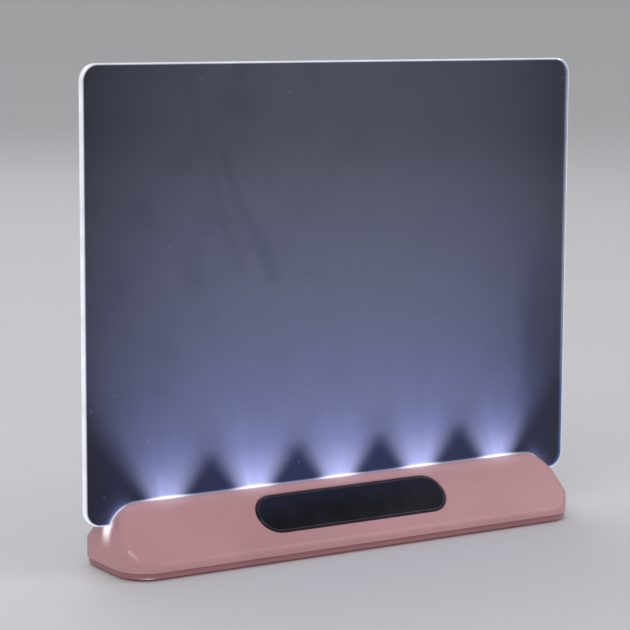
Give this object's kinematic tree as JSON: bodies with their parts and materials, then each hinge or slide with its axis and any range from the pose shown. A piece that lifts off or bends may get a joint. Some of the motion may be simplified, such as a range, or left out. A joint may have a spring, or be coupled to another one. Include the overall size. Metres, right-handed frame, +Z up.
{
  "type": "lit drawing board",
  "caption": "Clear drawing panel standing in the slot of a low battery-lit base with sloped sides, a push button, and a screwed battery door underneath.",
  "frame": {"origin": "on the ground, under the middle of the base, in the panel's middle plane", "axes": "+X along the base to the right seen from the front, +Y to the back, +Z up"},
  "size_m": [0.225, 0.046, 0.1912],
  "materials": {
    "clear_panel": "polished clear sheet, lit from its lower edge",
    "base_plastic": "soft pink, semi-gloss moulded",
    "badge": "high gloss black, bare",
    "button_plastic": "satin moulded",
    "foot_rubber": "matt",
    "screw_steel": "zinc plated",
    "contact_metal": "nickel plated",
    "battery_can": "plain printed sleeve, bare of lettering",
    "board_laminate": "solder masked laminate",
    "black_component": "moulded resin",
    "lamp_lens": "water-clear resin lens",
    "lead_red": "insulated lead",
    "lead_black": "insulated lead"
  },
  "bodies": {
    "base": {"base_shell": "base_plastic", "bottom_cover": "base_plastic", "badge_plate": "badge", "case_screws": "screw_steel", "foot_front_left": "foot_rubber", "foot_rear_left": "foot_rubber", "foot_front_right": "foot_rubber", "foot_rear_right": "foot_rubber", "battery_1": "battery_can", "battery_2": "battery_can", "battery_3": "battery_can", "battery_spring": "contact_metal", "contact_negative": "contact_metal", "contact_positive": "contact_metal", "led_board": "board_laminate", "led_resistors": "black_component", "light_screws": "screw_steel", "led_1": "lamp_lens", "led_2": "lamp_lens", "led_3": "lamp_lens", "led_4": "lamp_lens", "led_5": "lamp_lens", "tact_switch": "black_component", "switch_board": "board_laminate", "switch_screws": "screw_steel", "mode_chip": "black_component", "lead_supply_red": "lead_red", "lead_supply_black": "lead_black", "lead_light_red": "lead_red", "lead_light_black": "lead_black"},
    "panel": {"drawing_panel": "clear_panel"},
    "button": {"power_button": "button_plastic", "switch_plunger": "black_component"},
    "door": {"battery_door": "base_plastic", "battery_door_screw": "screw_steel"}
  },
  "joints": [
    {"name": "panel_lift", "type": "slide", "parent": "base", "child": "panel", "axis": [0, 0, 1], "range_m": [0, 0.02]},
    {"name": "button_press", "type": "slide", "parent": "base", "child": "button", "axis": [0, -0.7071, -0.7071], "range_m": [0, 0.0005], "stiffness_N_per_m": 400},
    {"name": "door_swing", "type": "hinge", "parent": "base", "child": "door", "pos_m": [-0.0875, 0.01, 0.001], "axis": [0, 1, 0], "range_deg": [0, 25]}
  ]
}
